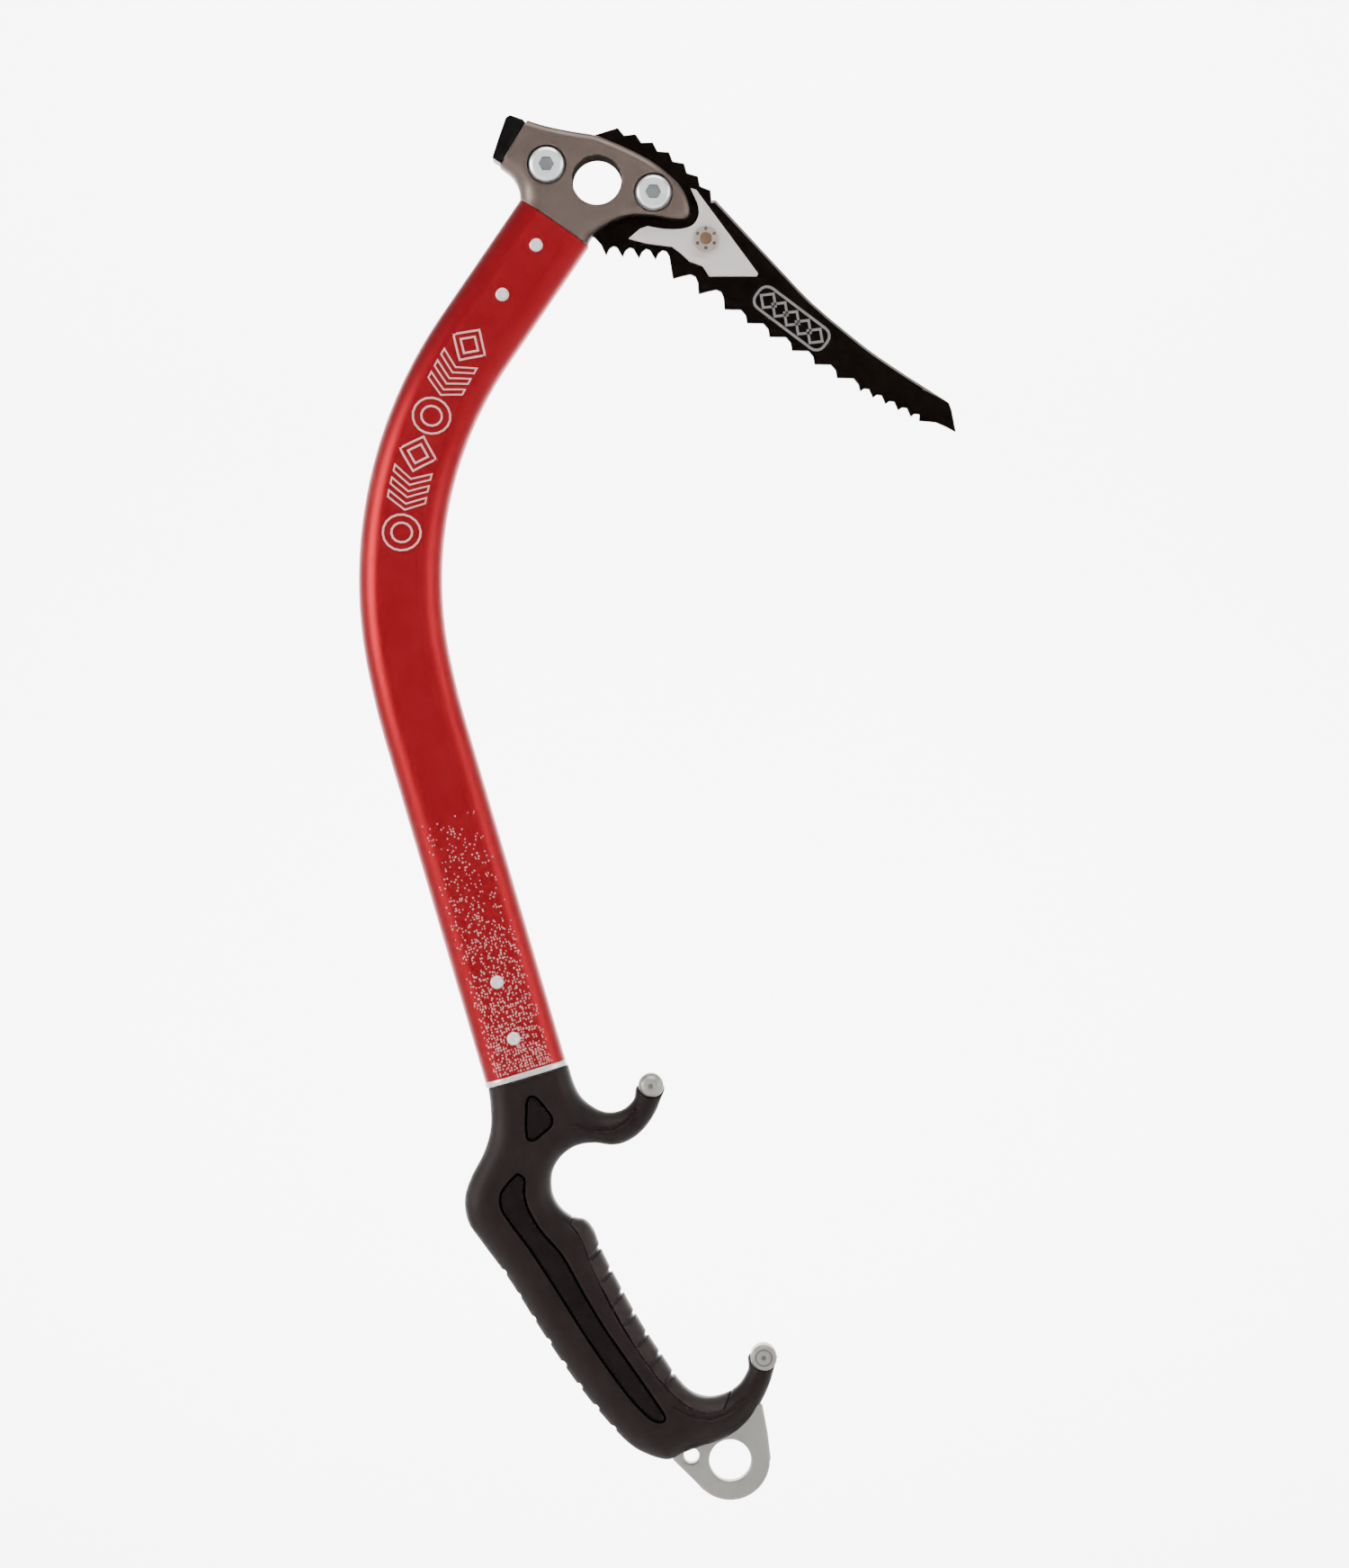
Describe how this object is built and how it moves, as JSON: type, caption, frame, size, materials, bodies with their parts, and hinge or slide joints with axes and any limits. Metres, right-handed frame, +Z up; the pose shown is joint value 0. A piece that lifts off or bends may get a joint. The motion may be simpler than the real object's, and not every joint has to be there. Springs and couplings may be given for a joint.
{
  "type": "technical ice axe",
  "caption": "Bent-shaft ice axe with a toothed, weighted pick, a hammer, a two-hook rubber grip and a clip-in spike; its head bolts unscrew to change the pick and hammer.",
  "frame": {"origin": "centre of the karabiner hole through the head, in the middle plane of the tool", "axes": "+X forward, the way the pick points; +Y across the tool, along the karabiner hole; +Z up along the tool, from the spike end towards the head"},
  "size_m": [0.2178, 0.0236, 0.5036],
  "materials": {
    "shaft_anodised": "red satin anodising",
    "head_forging": "bronze-grey satin anodising",
    "pick_steel": "black oxide, satin",
    "hammer_steel": "black oxide, satin",
    "bolt_zinc": "blue-white zinc plate",
    "washer_steel": "plain steel",
    "weight_metal": "bead-blasted, warm light grey",
    "stud_brass": "coppery plated end",
    "rivet_metal": "bare, satin",
    "collar_metal": "bare, turned",
    "core_forging": "bead-blasted, warm grey",
    "grip_rubber": "moulded, fine grain",
    "rib_rubber": "moulded, softer rubber",
    "inlay_plastic": "fine matt texture"
  },
  "bodies": {
    "axe": {"shaft": "shaft_anodised", "head": "head_forging", "pick": "pick_steel", "hammer": "hammer_steel", "front_nut": "bolt_zinc", "rear_nut": "bolt_zinc", "weight_left": "weight_metal", "weight_right": "weight_metal", "weight_stud": "stud_brass", "weight_nut_left": "weight_metal", "weight_nut_right": "weight_metal", "head_rivets": "rivet_metal", "handle_rivets": "rivet_metal", "shaft_collar": "collar_metal", "handle_core": "core_forging", "grip_body": "grip_rubber", "grip_front_ribs": "rib_rubber", "upper_inlay_left": "inlay_plastic", "upper_inlay_right": "inlay_plastic", "lower_inlay_left": "inlay_plastic", "lower_inlay_right": "inlay_plastic"},
    "front_bolt_washer": {"front_washer": "washer_steel"},
    "front_bolt_screw": {"front_bolt": "bolt_zinc"},
    "rear_bolt_washer": {"rear_washer": "washer_steel"},
    "rear_bolt_screw": {"rear_bolt": "bolt_zinc"}
  },
  "joints": [
    {"name": "front_bolt_travel", "type": "slide", "parent": "axe", "child": "front_bolt_washer", "axis": [0, -1, 0], "range_m": [0, 0.01]},
    {"name": "front_bolt_turn", "type": "hinge", "parent": "front_bolt_washer", "child": "front_bolt_screw", "pos_m": [0.0205, 0, -0.0044], "axis": [0, -1, 0], "range_deg": [0, 2880]},
    {"name": "rear_bolt_travel", "type": "slide", "parent": "axe", "child": "rear_bolt_washer", "axis": [0, -1, 0], "range_m": [0, 0.01]},
    {"name": "rear_bolt_turn", "type": "hinge", "parent": "rear_bolt_washer", "child": "rear_bolt_screw", "pos_m": [-0.0183, 0, 0.0057], "axis": [0, -1, 0], "range_deg": [0, 2880]}
  ],
  "couplings": [
    {"joint": "front_bolt_travel", "follows": "front_bolt_turn", "m_per_rad": 0.00019894},
    {"joint": "rear_bolt_travel", "follows": "rear_bolt_turn", "m_per_rad": 0.00019894}
  ]
}
